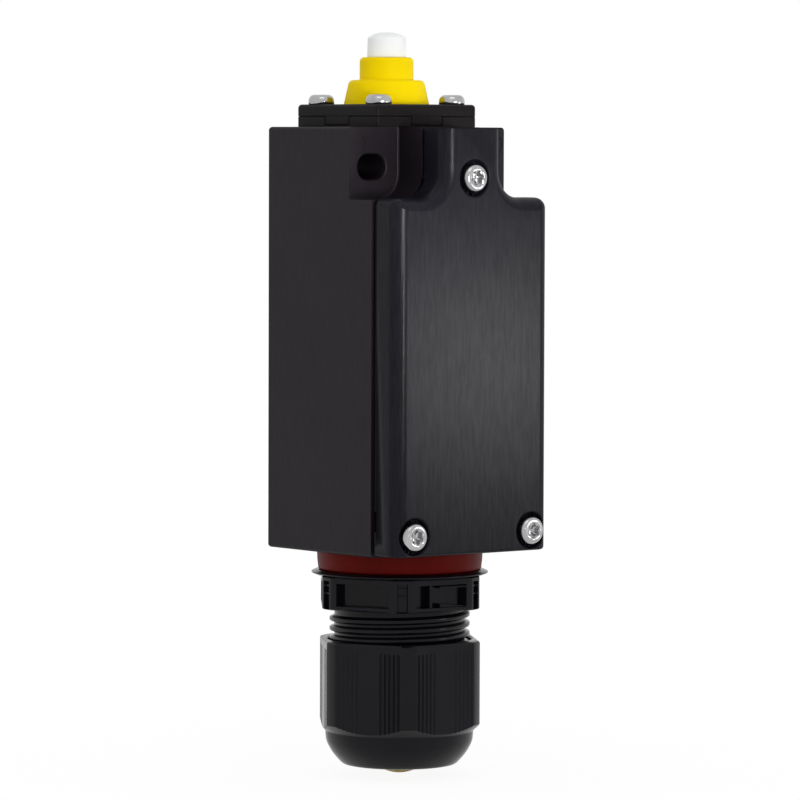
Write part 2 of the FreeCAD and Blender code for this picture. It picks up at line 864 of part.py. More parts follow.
def pressure_ring():
    return ring(0, gland_y, nut_opening_radius, cage_radius, pressure_ring_bottom, pressure_ring_top)


def gland_nut():
    body = hexagon(nut_across_flats, nut_start_turn, nut_bottom, nut_top)
    envelope = turned(0, gland_y, (0, nut_top), (nut_corner_radius - nut_chamfer, nut_top),
                      (nut_corner_radius, nut_top - nut_chamfer),
                      (nut_corner_radius, dome_top),
                      (dome_shoulder_radius, dome_top - cone_under_corners),
                      ((dome_middle_radius, nut_bottom + dome_middle_height), (dome_end_radius, nut_bottom)),
                      (0, nut_bottom))
    body = body.common(envelope)
    body = body.cut(post(0, gland_y, nut_bore_radius, nut_floor_top, nut_top + reach))
    return body.cut(post(0, gland_y, nut_opening_radius, nut_bottom - reach, nut_top))


def dust_plug():
    tip = nut_bottom - plug_protrusion
    brim = nut_bottom + plug_protrusion
    rise = brim - tip
    dome_radius = (plug_radius ** 2 + rise ** 2) / (2 * rise)
    middle = plug_radius / 2
    middle_height = tip + dome_radius - math.sqrt(dome_radius ** 2 - middle ** 2)
    shell = turned(0, gland_y, (0, brim + plug_depth), (plug_radius, brim + plug_depth),
                   (plug_radius, brim), ((middle, middle_height), (0, tip)))
    return shell.cut(post(0, gland_y, plug_radius - plug_wall, brim + plug_wall, brim + plug_depth + reach))


def all_pieces():
    """Every node of the part, by name."""
    return {
        "housing": housing(),
        "cover": cover(),
        "cover_gasket": cover_gasket(),
        "cover_screws": cover_screws(),
        "cover_inserts": cover_inserts(),
        "head_base": head_base(),
        "head_cap": head_cap(),
        "head_gasket": head_gasket(),
        "head_screws": head_screws(),
        "guide_collar": guide_collar(),
        "plunger_wiper": plunger_wiper(),
        "plunger": plunger(),
        "return_spring": return_spring(),
        "contact_block": contact_block(),
        "block_screws": block_screws(),
        "contact_slider": contact_slider(),
        "slider_spring": slider_spring(),
        "nc_bridge": bridge(nc_bridge_bottom),
        "no_bridge": bridge(no_bridge_bottom),
        "nc_bridge_tips": Part.makeCompound(tips(nc_bridge_top)),
        "no_bridge_tips": Part.makeCompound(tips(no_bridge_bottom - tip_thickness)),
        "nc_spring": bridge_spring(nc_window_bottom, nc_bridge_bottom),
        "no_spring": bridge_spring(no_bridge_top, no_window_top),
        "nc_contacts": fixed_contacts(nc_strip_bottom, *nc_tab_range()),
        "no_contacts": fixed_contacts(no_strip_top - strip_thickness, *no_tab_range()),
        "fixed_tips": Part.makeCompound(tips(nc_strip_bottom - tip_thickness) + tips(no_strip_top)),
        "terminal_clamps": terminal_clamps(),
        "terminal_screws": terminal_screws(),
        "gland_seal": gland_seal(),
        "gland_body": gland_body(),
        "sealing_insert": sealing_insert(),
        "clamping_cage": clamping_cage(),
        "pressure_ring": pressure_ring(),
        "gland_nut": gland_nut(),
        "dust_plug": dust_plug(),
    }


os.makedirs("parts", exist_ok=True)
for name, shape in all_pieces().items():
    shape.exportStep("parts/" + name + ".step")
    print(name, len(shape.Solids), round(shape.Volume, 1), shape.isValid())
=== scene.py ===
import bmesh
import bpy
import math
from mathutils import Matrix, Vector


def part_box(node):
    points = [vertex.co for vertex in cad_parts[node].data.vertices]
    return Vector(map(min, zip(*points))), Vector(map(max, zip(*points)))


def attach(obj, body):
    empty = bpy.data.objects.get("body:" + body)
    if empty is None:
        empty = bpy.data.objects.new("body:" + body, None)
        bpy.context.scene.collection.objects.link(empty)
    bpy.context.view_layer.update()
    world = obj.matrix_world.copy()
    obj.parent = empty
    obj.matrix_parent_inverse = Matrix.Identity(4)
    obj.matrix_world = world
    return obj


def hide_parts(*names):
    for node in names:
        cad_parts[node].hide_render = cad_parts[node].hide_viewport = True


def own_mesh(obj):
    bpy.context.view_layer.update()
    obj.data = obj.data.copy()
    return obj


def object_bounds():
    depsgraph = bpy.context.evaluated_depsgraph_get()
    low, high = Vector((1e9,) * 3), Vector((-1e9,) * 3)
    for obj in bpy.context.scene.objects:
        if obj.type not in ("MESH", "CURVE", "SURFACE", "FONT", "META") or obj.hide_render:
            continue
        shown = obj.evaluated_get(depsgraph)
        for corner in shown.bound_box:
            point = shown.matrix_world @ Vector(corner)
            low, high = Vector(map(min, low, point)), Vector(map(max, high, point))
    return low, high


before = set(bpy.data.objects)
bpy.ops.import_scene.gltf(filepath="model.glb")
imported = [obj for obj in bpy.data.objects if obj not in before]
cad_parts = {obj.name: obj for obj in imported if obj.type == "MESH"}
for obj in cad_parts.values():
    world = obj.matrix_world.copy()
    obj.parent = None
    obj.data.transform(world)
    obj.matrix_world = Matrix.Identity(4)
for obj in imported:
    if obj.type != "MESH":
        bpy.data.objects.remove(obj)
cad_box = [list(corner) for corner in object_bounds()]


# Housing. A deep box moulded in one shot from black glass-filled polyamide, open to the front.
# Two corner notches give the fixing screws room, each with a slot in its back wall, and the
# roof is bored for the plunger, the floor for the cable gland.
mm = 0.001
housing_low, housing_high = (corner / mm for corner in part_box("housing"))
side = housing_high.x
bottom = housing_low.z
top = housing_high.z
parting = housing_low.y
wall = 3.0
notch_back = -28.5
notch_floor = -6.8
neck_side = 7.8
notch_radius = 5.5
edge_radius = 0.8
fillet_radius = 0.5
slot_places = (-15.0, 15.0)
slot_reach = 3.65
slot_rise = 2.65
slot_round = 2.64
plunger_y = -14.4
gland_y = -19.5
flange_bore = 6.6
flange_room = 9.5
stem_bore = 3.1
gland_bore = 12.6
insert_bore = 2.6
insert_room = 7
tapped_bore = 1.58
tapped_room = 5.3


def rounded_outline(corners, inset=0.0, steps=10):
    """Points counterclockwise round a polygon of (u, v, radius) corners, moved inwards by the inset."""
    points = []
    for index, (u, v, radius) in enumerate(corners):
        here = Vector((u, v))
        before = Vector(corners[index - 1][:2])
        after = Vector(corners[(index + 1) % len(corners)][:2])
        run_in = (here - before).normalized()
        run_out = (after - here).normalized()
        in_normal = Vector((-run_in.y, run_in.x))
        out_normal = Vector((-run_out.y, run_out.x))
        spread = (in_normal + out_normal) / (1 + in_normal.dot(out_normal))
        corner = here + spread * inset
        if radius <= 0:
            points.append(corner)
            continue
        turn = 1 if run_in.x * run_out.y - run_in.y * run_out.x > 0 else -1
        left = max(radius - turn * inset, 0.01)
        middle = corner + spread * left * turn
        start = math.atan2(-in_normal.y * turn, -in_normal.x * turn)
        sweep = in_normal.angle_signed(out_normal)
        for step in range(steps + 1):
            angle = start - sweep * step / steps
            points.append(middle + left * Vector((math.cos(angle), math.sin(angle))))
    return points


def across(u, v, w):
    """A point of an outline seen from the front, at depth w."""
    return (u, w, v)


def rolled(edge, radius, inward, steps=6):
    """Depths and insets of the rounding at one end of a slab, from its flat end to its side."""
    angles = [math.pi / 2 * (1 - step / steps) for step in range(steps + 1)]
    return [(edge + inward * radius * (1 - math.sin(angle)), radius * (1 - math.cos(angle)))
            for angle in angles]


def slab(corners, layers, place):
    """Rings of points for a plate of that outline, one for each (depth, inset) layer."""
    return [[place(p.x, p.y, depth) for p in rounded_outline(corners, inset)] for depth, inset in layers]


def skinned(name, *shells, looped=False):
    """An object whose closed shells are skinned over rings of points in millimetres."""
    made = bmesh.new()
    for rings in shells:
        rows = [[made.verts.new([value * mm for value in point]) for point in ring] for ring in rings]
        count = len(rows[0])
        pairs = list(zip(rows, rows[1:])) + ([(rows[-1], rows[0])] if looped else [])
        for lower, upper in pairs:
            for index in range(count):
                following = (index + 1) % count
                made.faces.new((lower[index], lower[following], upper[following], upper[index]))
        if not looped:
            made.faces.new(rows[0])
            made.faces.new(rows[-1])
    bmesh.ops.remove_doubles(made, verts=made.verts, dist=1e-7)
    bmesh.ops.recalc_face_normals(made, faces=made.faces)
    mesh = bpy.data.meshes.new(name)
    made.to_mesh(mesh)
    made.free()
    mesh.shade_smooth()
    shape = bpy.data.objects.new(name, mesh)
    bpy.context.scene.collection.objects.link(shape)
    return shape


def settled(shape):
    """Turns an object's modifiers into its mesh."""
    seen = shape.evaluated_get(bpy.context.evaluated_depsgraph_get())
    shape.data = bpy.data.meshes.new_from_object(seen)
    shape.modifiers.clear()


def worked(shape, how, *tools):
    """Cuts the tools from the shape, or joins them to it, and removes the tools."""
    for tool in tools:
        step = shape.modifiers.new("work", "BOOLEAN")
        step.operation = how
        step.solver = "EXACT"
        step.object = tool
        settled(shape)
        bpy.data.objects.remove(tool)


def flattened(shape):
    """Lets the large faces set the shading normals, so that they look flat."""
    flat = shape.modifiers.new("flat faces", "WEIGHTED_NORMAL")
    flat.mode = "FACE_AREA"
    flat.weight = 100
    flat.keep_sharp = True
    return shape


def softened(shape, width, segments=3, angle=32):
    """Rounds every edge sharper than the angle by the width."""
    edge = shape.modifiers.new("soft edges", "BEVEL")
    edge.width = width * mm
    edge.segments = segments
    edge.limit_method = "ANGLE"
    edge.angle_limit = math.radians(angle)
    return flattened(shape)


def drill(x, z, radius, y_front, y_rear, sides=48):
    """A round tool along the depth."""
    angles = [2 * math.pi * index / sides for index in range(sides)]
    return skinned("drill", [[(x + radius * math.cos(angle), depth, z + radius * math.sin(angle))
                              for angle in angles] for depth in (y_front, y_rear)])


def auger(x, y, radius, z_low, z_high, sides=96):
    """A round tool along the height."""
    angles = [2 * math.pi * index / sides for index in range(sides)]
    return skinned("auger", [[(x + radius * math.cos(angle), y + radius * math.sin(angle), height)
                              for angle in angles] for height in (z_low, z_high)])


def mirrored(corners):
    """The same outline on the other side of the middle plane, still counterclockwise."""
    return [(-u, v, radius) for u, v, radius in reversed(corners)]


def dressed(shape, finish, body, slot, *nodes):
    """Gives a piece its material and its body, and hides the CAD nodes that it stands for. The slot is not
    used.
    """
    shape.data.materials.clear()
    shape.data.materials.append(finish)
    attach(shape, body)
    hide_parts(*nodes)


def node(tree, kind, **values):
    """A shader node with some of its settings or inputs given."""
    made = tree.nodes.new("ShaderNode" + kind)
    for key, value in values.items():
        if hasattr(made, key):
            setattr(made, key, value)
        else:
            made.inputs[key.replace("_", " ")].default_value = value
    return made


def effect(name, inputs, outputs):
    """An empty node group with named sockets: floats, or colours where the default is a tuple."""
    group = bpy.data.node_groups.new(name, "ShaderNodeTree")
    for way, sockets in (("INPUT", inputs), ("OUTPUT", outputs)):
        for label, value in sockets.items():
            kind = "NodeSocketColor" if isinstance(value, tuple) else "NodeSocketFloat"
            made = group.interface.new_socket(label, in_out=way, socket_type=kind)
            if way == "INPUT":
                made.default_value = value
    return group, group.nodes.new("NodeGroupInput"), group.nodes.new("NodeGroupOutput")


# The grain of a spark-eroded mould: fine pits of one size over a softer, wider waviness.
mould_grain, given, result = effect("mould_grain", {"Grain size": 0.0003, "Waviness": 0.3}, {"Height": 0.0})
place_at = node(mould_grain, "TexCoord")
pitch = node(mould_grain, "Math", operation="DIVIDE")
pitch.inputs[0].default_value = 1.0
mould_grain.links.new(given.outputs["Grain size"], pitch.inputs[1])
pits = node(mould_grain, "TexNoise", Detail=3.0, Roughness=0.6)
mould_grain.links.new(place_at.outputs["Object"], pits.inputs["Vector"])
mould_grain.links.new(pitch.outputs[0], pits.inputs["Scale"])
waves = node(mould_grain, "TexNoise", Scale=160.0, Detail=2.0)
mould_grain.links.new(place_at.outputs["Object"], waves.inputs["Vector"])
both = node(mould_grain, "Mix", data_type="FLOAT")
mould_grain.links.new(given.outputs["Waviness"], both.inputs["Factor"])
mould_grain.links.new(pits.outputs["Fac"], both.inputs[2])
mould_grain.links.new(waves.outputs["Fac"], both.inputs[3])
mould_grain.links.new(both.outputs[0], result.inputs["Height"])

# Slow drift of the tone over a surface, with faint flow lines drawn out along the height. The
# lines come out on their own as well, so that they can vary the sheen.
tone_drift, given, result = effect(
    "tone_drift",
    {"Deep": (0.02, 0.02, 0.02, 1), "Pale": (0.03, 0.03, 0.03, 1), "Size": 0.02, "Streaks": 0.3},
    {"Color": (0.0, 0.0, 0.0, 1), "Line": 0.0})
place_at = node(tone_drift, "TexCoord")
pitch = node(tone_drift, "Math", operation="DIVIDE")
pitch.inputs[0].default_value = 1.0
tone_drift.links.new(given.outputs["Size"], pitch.inputs[1])
drift = node(tone_drift, "TexNoise", Detail=4.0, Roughness=0.55)
tone_drift.links.new(place_at.outputs["Object"], drift.inputs["Vector"])
tone_drift.links.new(pitch.outputs[0], drift.inputs["Scale"])
drawn = node(tone_drift, "Mapping")
drawn.inputs["Scale"].default_value = (1.0, 1.0, 0.10)
tone_drift.links.new(place_at.outputs["Object"], drawn.inputs["Vector"])
lines = node(tone_drift, "TexNoise", Scale=2300.0, Detail=3.0)
tone_drift.links.new(drawn.outputs["Vector"], lines.inputs["Vector"])
both = node(tone_drift, "Mix", data_type="FLOAT")
tone_drift.links.new(given.outputs["Streaks"], both.inputs["Factor"])
tone_drift.links.new(drift.outputs["Fac"], both.inputs[2])
tone_drift.links.new(lines.outputs["Fac"], both.inputs[3])
spread_out = node(tone_drift, "MapRange")
spread_out.inputs["From Min"].default_value = 0.35
spread_out.inputs["From Max"].default_value = 0.65
tone_drift.links.new(both.outputs[0], spread_out.inputs["Value"])
tones = node(tone_drift, "Mix", data_type="RGBA")
tone_drift.links.new(spread_out.outputs[0], tones.inputs["Factor"])
tone_drift.links.new(given.outputs["Deep"], tones.inputs[6])
tone_drift.links.new(given.outputs["Pale"], tones.inputs[7])
tone_drift.links.new(tones.outputs[2], result.inputs["Color"])
tone_drift.links.new(lines.outputs["Fac"], result.inputs["Line"])


def skin(finish, deep, pale, size, streaks, grain, waviness, depth, smoothest, roughest):
    """Gives a finish its drifting tone, its grain, and a roughness that follows the grain.

    It gives back the node tree, the surface and the tone, for what a finish adds to them."""
    finish.use_nodes = True
    tree = finish.node_tree
    surface = tree.nodes["Principled BSDF"]
    tone = node(tree, "Group", node_tree=tone_drift)
    tone.inputs["Deep"].default_value = (*deep, 1)
    tone.inputs["Pale"].default_value = (*pale, 1)
    tone.inputs["Size"].default_value = size
    tone.inputs["Streaks"].default_value = streaks
    tree.links.new(tone.outputs["Color"], surface.inputs["Base Color"])
    grit = node(tree, "Group", node_tree=mould_grain)
    grit.inputs["Grain size"].default_value = grain * mm
    grit.inputs["Waviness"].default_value = waviness
    relief = node(tree, "Bump", Strength=1.0)
    relief.inputs["Distance"].default_value = depth * mm
    tree.links.new(grit.outputs["Height"], relief.inputs["Height"])
    tree.links.new(relief.outputs["Normal"], surface.inputs["Normal"])
    gloss = node(tree, "MapRange")
    gloss.inputs["To Min"].default_value = smoothest
    gloss.inputs["To Max"].default_value = roughest
    tree.links.new(grit.outputs["Height"], gloss.inputs["Value"])
    tree.links.new(gloss.outputs[0], surface.inputs["Roughness"])
    return tree, surface, tone


def plastic(name, deep, pale, roughness, grain, depth, drift=0.02, streaks=0.3, waviness=0.3,
            specular=0.15, rim=0.12):
    """A moulded or rubber-like finish: two near tones, a grain size in millimetres and its depth.

    Its fine skin scatters what would be mirrored at a glancing angle, so the mirroring fades there
    to the rim's share. The flow lines vary it by a fifth of the streaks."""
    finish = bpy.data.materials.new(name)
    tree, surface, tone = skin(finish, deep, pale, drift, streaks, grain, waviness, depth,
                               roughness - 0.06, roughness + 0.06)
    turned_away = node(tree, "LayerWeight", Blend=0.5)
    mirroring = node(tree, "MapRange")
    mirroring.inputs["From Min"].default_value = 0.45
    mirroring.inputs["From Max"].default_value = 0.88
    mirroring.inputs["To Min"].default_value = specular
    mirroring.inputs["To Max"].default_value = specular * rim
    tree.links.new(turned_away.outputs["Facing"], mirroring.inputs["Value"])
    streak_share = 0.2
    banding = node(tree, "MapRange")
    banding.inputs["From Min"].default_value = 0.35
    banding.inputs["From Max"].default_value = 0.65
    banding.inputs["To Min"].default_value = 1 - streak_share * streaks
    banding.inputs["To Max"].default_value = 1 + streak_share * streaks
    tree.links.new(tone.outputs["Line"], banding.inputs["Value"])
    sheen = node(tree, "Math", operation="MULTIPLY")
    tree.links.new(mirroring.outputs[0], sheen.inputs[0])
    tree.links.new(banding.outputs[0], sheen.inputs[1])
    tree.links.new(sheen.outputs[0], surface.inputs["Specular IOR Level"])
    return finish


housing_plastic = plastic("housing_plastic", (0.0068, 0.0045, 0.0072), (0.0096, 0.0068, 0.0100), 0.48,
                          grain=0.30, depth=0.030, specular=0.15)

shell_outline = [(-side, bottom, edge_radius), (side, bottom, edge_radius),
                 (side, top, edge_radius), (-side, top, edge_radius)]
housing = skinned("housing_shell", slab(
    shell_outline, [(parting, 0)] + rolled(0.0, edge_radius, -1)[::-1], across))

# Here and below, a tool runs a little past each surface that it cuts through.
notch_space = [(neck_side, notch_floor, notch_radius), (side + 9, notch_floor, 0),
               (side + 9, top + 9, 0), (neck_side, top + 9, 0)]
notch_layers = [(parting - 9, 0)] + rolled(notch_back, fillet_radius, -1)[::-1]
worked(housing, "DIFFERENCE", skinned("notch", slab(notch_space, notch_layers, across)),
       skinned("notch", slab(mirrored(notch_space), notch_layers, across)))
for x in slot_places:
    slot_outline = [(x - slot_reach, -slot_rise, slot_round), (x + slot_reach, -slot_rise, slot_round),
                    (x + slot_reach, slot_rise, slot_round), (x - slot_reach, slot_rise, slot_round)]
    mouth = [(notch_back - 0.3, -0.78), (notch_back, -0.48), (notch_back + 0.14, -0.20),
             (notch_back + 0.5, -0.06), (notch_back + 1.2, 0), (2, 0)]
    worked(housing, "DIFFERENCE", skinned("slot", slab(slot_outline, mouth, across)))

# The gasket's inner line, at the wall's thickness from the edge, steps in beside the cover screws.
screw_boss = 8.6
inner_side = side - wall
inner_step = inner_side - screw_boss
inner_low = bottom + wall
inner_shelf = inner_low + screw_boss
inner_high = notch_floor - wall
pocket_line = [(-inner_step, inner_low, 0), (inner_step, inner_low, 0), (inner_step, inner_shelf, 0),
               (inner_side, inner_shelf, 0), (inner_side, inner_high, 0), (-inner_side, inner_high, 0),
               (-inner_side, inner_shelf, 0), (-inner_step, inner_shelf, 0)]
neck_screw_drop = 10.75
low_screw_reach = 15.9
low_screw_rise = 4.65
cover_screw_places = [(0.0, top - neck_screw_drop), (-low_screw_reach, bottom + low_screw_rise),
                      (low_screw_reach, bottom + low_screw_rise)]
head_screw_reach = 10
head_screw_places = [(x, plunger_y + y) for x in (-head_screw_reach, head_screw_reach)
                     for y in (-head_screw_reach, head_screw_reach)]
worked(housing, "DIFFERENCE",
       skinned("hollow", slab(pocket_line, [(parting - 2, 0), (-wall, 0)], across)),
       auger(0, plunger_y, flange_bore, top - flange_room, top + 2),
       auger(0, plunger_y, stem_bore, inner_high - 2, top - 9),
       auger(0, gland_y, gland_bore, bottom - 2, bottom + wall + 2),
       *[drill(x, z, insert_bore, parting - 2, parting + insert_room) for x, z in cover_screw_places],
       *[auger(x, y, tapped_bore, top - tapped_room, top + 2, sides=32) for x, y in head_screw_places])
settled(softened(housing, 0.3))

# Ejector pins have left a shallow round mark on the back of each notch.
ejector_places = [(-18.7, 4.9), (18.7, 4.9)]
ejector_radius = 2.0
ejector_depth = 0.12
worked(housing, "DIFFERENCE", *[
    drill(x, z, ejector_radius, notch_back - 0.5, notch_back + ejector_depth) for x, z in ejector_places])
flattened(housing)
dressed(housing, housing_plastic, "root", "housing_plastic", "housing")


# Cover. A satin lid of the same outline, moulded from blue-black polyamide. Its rim stands
# clear of the housing, and only the pads beside its three screws come close to it.
cover_low, cover_high = (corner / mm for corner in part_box("cover"))
cover_side = cover_high.x
cover_front = cover_low.y
pad_back = cover_high.y
pad_height = 1.1
cover_back = pad_back - pad_height
face_thickness = 2.8
cover_bottom = cover_low.z
cover_top = cover_high.z
shoulder = notch_floor + 0.4
bore_radius = 3.85
bore_depth = 1.35
shank_bore = 2.0
front_corner = 2.3
back_corner = 1.2
front_roll = 2.9
pad_rise = 5.5
pad_reach = 12.25
neck_pad = 11.0


def turned(name, *sections, x=0.0, y=0.0, place=None, sides=128):
    """An object turned from closed cross-sections of (radius, height, corner radius) points."""
    shells = []
    for section in sections:
        outline = rounded_outline(section)
        rings = []
        for p in outline:
            ring = []
            for index in range(sides):
                angle = 2 * math.pi * index / sides
                ring.append((x + p.x * math.cos(angle), y + p.x * math.sin(angle), p.y))
            rings.append(ring if place is None else [place(*point) for point in ring])
        shells.append(rings)
    return skinned(name, *shells, looped=True)


def trimmed(shape, height, up):
    """Cuts a shape off flat at a height, keeping what is below it, or above it."""
    made = bmesh.new()
    made.from_mesh(shape.data)
    bmesh.ops.bisect_plane(made, geom=made.verts[:] + made.edges[:] + made.faces[:],
                           plane_co=(0, 0, height * mm), plane_no=(0, 0, 1),
                           clear_outer=not up, clear_inner=up)
    rim = [edge for edge in made.edges if edge.is_boundary]
    bmesh.ops.holes_fill(made, edges=rim)
    bmesh.ops.recalc_face_normals(made, faces=made.faces)
    made.to_mesh(shape.data)
    made.free()
    shape.data.shade_smooth()


def counterbore(x, z):
    """A tool for the sunk seat of a cover screw, with its rim slightly rolled."""
    section = [(0.0, -9.0, 0), (bore_radius + 0.45, -9.0, 0), (bore_radius + 0.45, -0.001, 0),
               (bore_radius + 0.2, 0.07, 0), (bore_radius, 0.35, 0),
               (bore_radius - 0.06, bore_depth - 0.25, 0), (bore_radius - 0.3, bore_depth, 0),
               (0.0, bore_depth, 0)]
    return turned("bore", section, place=lambda u, v, w: (x + u, cover_front + w, z + v), sides=64)


cover_plastic = plastic("cover_plastic", (0.0050, 0.0050, 0.0080), (0.0080, 0.0080, 0.0115), 0.31,
                        grain=0.22, depth=0.012, drift=0.03, streaks=0.6, specular=0.10)


def lid_outline(corner):
    """The cover's outline, whose shoulders have the corner radius. It overshoots neck and bottom."""
    inner = notch_radius + 0.35
    return [(-cover_side, cover_bottom - 6, 0), (cover_side, cover_bottom - 6, 0),
            (cover_side, shoulder, corner), (neck_side, shoulder, inner),
            (neck_side, cover_top + 6, 0), (-neck_side, cover_top + 6, 0),
            (-neck_side, shoulder, inner), (-cover_side, shoulder, corner)]


lid_rings = slab(lid_outline(front_corner), rolled(cover_front, front_roll, 1, steps=9), across)
lid_rings += slab(lid_outline(back_corner), [(pad_back, 0)], across)
cover = skinned("cover_lid", lid_rings)
trimmed(cover, cover_bottom, up=True)
settled(softened(cover, 0.7, segments=4, angle=50))
trimmed(cover, cover_top, up=False)
worked(cover, "DIFFERENCE",
       skinned("relief", slab([(-side - 5, bottom + pad_rise, 0), (side + 5, bottom + pad_rise, 0),
                               (side + 5, top - neck_pad, 0), (-side - 5, top - neck_pad, 0)],
                              [(cover_back, 0), (pad_back + 3, 0)], across)),
       skinned("relief", slab([(-pad_reach, bottom - 5, 0), (pad_reach, bottom - 5, 0),
                               (pad_reach, bottom + 6, 0), (-pad_reach, bottom + 6, 0)],
                              [(cover_back, 0), (pad_back + 3, 0)], across)),
       skinned("hollow", slab(pocket_line, [(cover_front + face_thickness, 0), (cover_back + 5, 0)], across)),
       *[counterbore(x, z) for x, z in cover_screw_places],
       *[drill(x, z, shank_bore, cover_front - 2, pad_back + 2) for x, z in cover_screw_places])
softened(cover, 0.22, angle=40)
dressed(cover, cover_plastic, "root", "cover_plastic", "cover")


# Cover gasket. A soft black rubber frame pressed between the rims of cover and housing.
# It shows only as a dark line at the bottom of the gap.
black_rubber = plastic("black_rubber", (0.010, 0.010, 0.011), (0.016, 0.016, 0.017), 0.7,
                       grain=0.15, depth=0.01)
for name in ("cover_gasket", "head_gasket", "plunger_wiper", "sealing_insert"):
    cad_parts[name].data.materials.clear()
    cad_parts[name].data.materials.append(black_rubber)


# Cover screws. Three cold-headed steel pan heads, zinc plated and bright, each with a
# six-lobed socket. They pull the cover's pads down onto brass inserts in the housing.
def lobed(radius, angle):
    """The outline of a six-lobed socket whose lobes reach the radius."""
    return radius * (0.865 + 0.135 * math.cos(6 * angle))


def pan_screw(place, head_radius, head_height, shank_radius, length, crown, socket, floor):
    """Rings for a pan-head screw, whose seat is at height zero. Place moves its points into the frame.

    The crown is the radius of the head's flat top, and the floor is the height of the socket's bottom."""
    profile = [(0.4 * shank_radius, -length, 0), (shank_radius, -length + 0.6 * shank_radius, 0),
               (shank_radius, 0, 0), (head_radius - 0.12, 0, 0), (head_radius, 0.12, 0)]
    edge = 0.32 * head_height
    for step in range(9):
        angle = math.pi / 2 * step / 8
        profile.append((crown + (head_radius - crown) * math.cos(angle) ** 0.9 if step < 8 else crown,
                        edge + (head_height - edge) * math.sin(angle), 0))
    profile += [(crown * 0.93, head_height, 0), (socket + 0.12, head_height, 1),
                (socket, head_height - 0.14, 1), (socket, floor, 1), (0.5 * socket, floor - 0.1, 0.5),
                (0.05, floor - 0.25, 0)]
    rings = []
    for radius, height, share in profile:
        ring = []
        for index in range(96):
            angle = 2 * math.pi * index / 96
            at = radius * (1 - share) + lobed(radius, angle) * share
            ring.append(place(at * math.cos(angle), at * math.sin(angle), height))
        rings.append(ring)
    return rings


def metal(name, deep, pale, roughness, lines, depth):
    """A bare or plated metal with fine machining lines and slightly uneven polish."""
    finish = bpy.data.materials.new(name)
    skin(finish, deep, pale, size=0.004, streaks=0.2, grain=lines, waviness=0.5, depth=depth,
         smoothest=roughness - 0.05, roughest=roughness + 0.08)
    finish.node_tree.nodes["Principled BSDF"].inputs["Metallic"].default_value = 1.0
    return finish


zinc_steel = metal("zinc_steel", (0.32, 0.32, 0.33), (0.46, 0.46, 0.46), 0.16, lines=0.25, depth=0.014)
screw_seat = cover_front + bore_depth


def driven_from_front(x, z, turn):
    """Places a screw's points on a cover screw's axis, its socket turned by an angle in degrees."""
    c, s = math.cos(math.radians(turn)), math.sin(math.radians(turn))
    return lambda u, v, w: (x + c * u - s * v, screw_seat - w, z + s * u + c * v)


cover_screws = skinned("cover_screw_set", *[
    pan_screw(driven_from_front(x, z, turn), head_radius=3.1, head_height=2.35, shank_radius=1.65,
              length=-screw_seat + parting + 6.5, crown=2.1, socket=1.6, floor=0.95)
    for (x, z), turn in zip(cover_screw_places, (12, 40, 27))])
dressed(cover_screws, zinc_steel, "root", "zinc_steel", "cover_screws")


# Head plate. Two flat layers moulded in the housing's plastic clamp the guide collar. The
# cap's four tabs drop into pockets in the edge of the base, so it fits square.
plate_low, plate_high = (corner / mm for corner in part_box("head_cap"))
base_low, base_high = (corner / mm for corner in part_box("head_base"))
plate_side = plate_high.x
plate_front = plate_low.y
plate_rear = plate_high.y
seam = base_high.z
tab_drop = 1.75
tab_half = 4.1
tab_depth = 1.4
pocket_gap = 0.2
cap_roll = 0.8
cone_bore = 9.35
screw_bore = 1.6
plate_corner = 0.45
plate_outline = [(-plate_side, plate_front, plate_corner), (plate_side, plate_front, plate_corner),
                 (plate_side, plate_rear, plate_corner), (-plate_side, plate_rear, plate_corner)]


def upright(u, v, w):
    """A point of an outline seen from above, at height w."""
    return (u, v, w)


def box(x_low, x_high, y_low, y_high, z_low, z_high, corner=0.0):
    """A block whose upright edges may be rounded."""
    corners = [(x_low, y_low, corner), (x_high, y_low, corner),
               (x_high, y_high, corner), (x_low, y_high, corner)]
    return skinned("block", slab(corners, [(z_low, 0), (z_high, 0)], upright))


def tab_blocks(gap, overshoot, lift):
    """The four tabs in the middle of the plate's sides, or the room for them."""
    low = seam - tab_drop - gap
    high = seam + lift
    half = tab_half + gap
    deep = tab_depth + gap
    near = plunger_y - half
    far = plunger_y + half
    return [box(-half, half, plate_front - overshoot, plate_front + deep, low, high),
            box(-half, half, plate_rear - deep, plate_rear + overshoot, low, high),
            box(-plate_side - overshoot, -plate_side + deep, near, far, low, high),
            box(plate_side - deep, plate_side + overshoot, near, far, low, high)]


head_plastic = plastic("head_plastic", (0.0060, 0.0046, 0.0052), (0.0085, 0.0066, 0.0074), 0.40,
                       grain=0.25, depth=0.020, specular=0.08)
head_base = skinned("head_plate_base", slab(
    plate_outline, [(base_low.z, 0.08), (base_low.z + 0.12, 0), (seam - 0.12, 0), (seam, 0.14)], upright))
worked(head_base, "DIFFERENCE", *tab_blocks(pocket_gap, 2, 2),
       auger(0, plunger_y, flange_bore, top - 2, seam + 2),
       *[auger(x, y, screw_bore, top - 2, seam + 2, sides=32) for x, y in head_screw_places])
softened(head_base, 0.1, segments=2, angle=40)
dressed(head_base, head_plastic, "root", "housing_plastic", "head_base")
head_cap = skinned("head_plate_cap", slab(
    plate_outline, [(seam, 0.14), (seam + 0.12, 0)] + rolled(plate_high.z, cap_roll, -1)[::-1], upright))
worked(head_cap, "DIFFERENCE", auger(0, plunger_y, cone_bore, seam - 2, plate_high.z + 2),
       *[auger(x, y, screw_bore, seam - 2, plate_high.z + 2, sides=32) for x, y in head_screw_places])
worked(head_cap, "UNION", *tab_blocks(0, -0.02, 0.6))
softened(head_cap, 0.12, segments=2, angle=40)
dressed(head_cap, head_plastic, "root", "housing_plastic", "head_cap")


